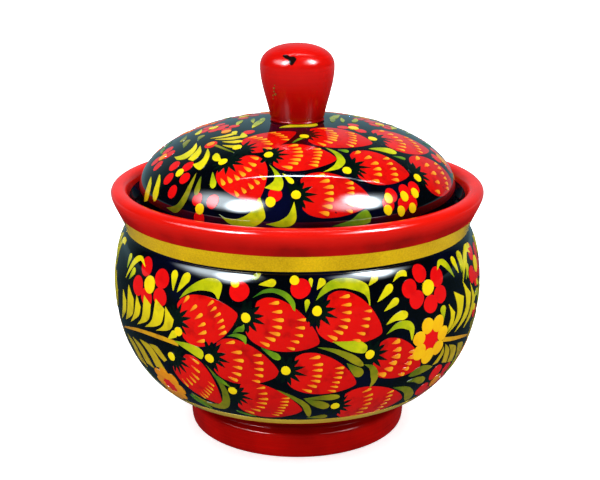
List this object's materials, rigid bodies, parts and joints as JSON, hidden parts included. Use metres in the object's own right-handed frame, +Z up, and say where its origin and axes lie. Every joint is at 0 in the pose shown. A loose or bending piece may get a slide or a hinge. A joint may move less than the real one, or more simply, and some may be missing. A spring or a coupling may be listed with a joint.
{
  "type": "lidded bowl",
  "caption": "Round turned wooden bowl on a low foot, with a domed lid that sits inside the lip and a glued-in knob, lacquered and painted all round.",
  "frame": {"origin": "centre of the flat underside of the foot, where the bowl stands on the table", "axes": "+Z up along the axis of turning, towards the knob; +X and +Y are alike because the piece is turned"},
  "size_m": [0.13, 0.13, 0.1363],
  "materials": {
    "bowl_lacquer": "gloss lacquer over paint on turned linden wood",
    "lid_lacquer": "gloss lacquer over paint on turned linden wood",
    "knob_lacquer": "gloss red lacquer on turned linden wood"
  },
  "bodies": {
    "bowl": {"bowl": "bowl_lacquer"},
    "lid": {"lid": "lid_lacquer", "knob": "knob_lacquer"}
  },
  "joints": [
    {"name": "lid_lift", "type": "slide", "parent": "bowl", "child": "lid", "axis": [0, 0, 1], "range_m": [0, 0.12]}
  ]
}
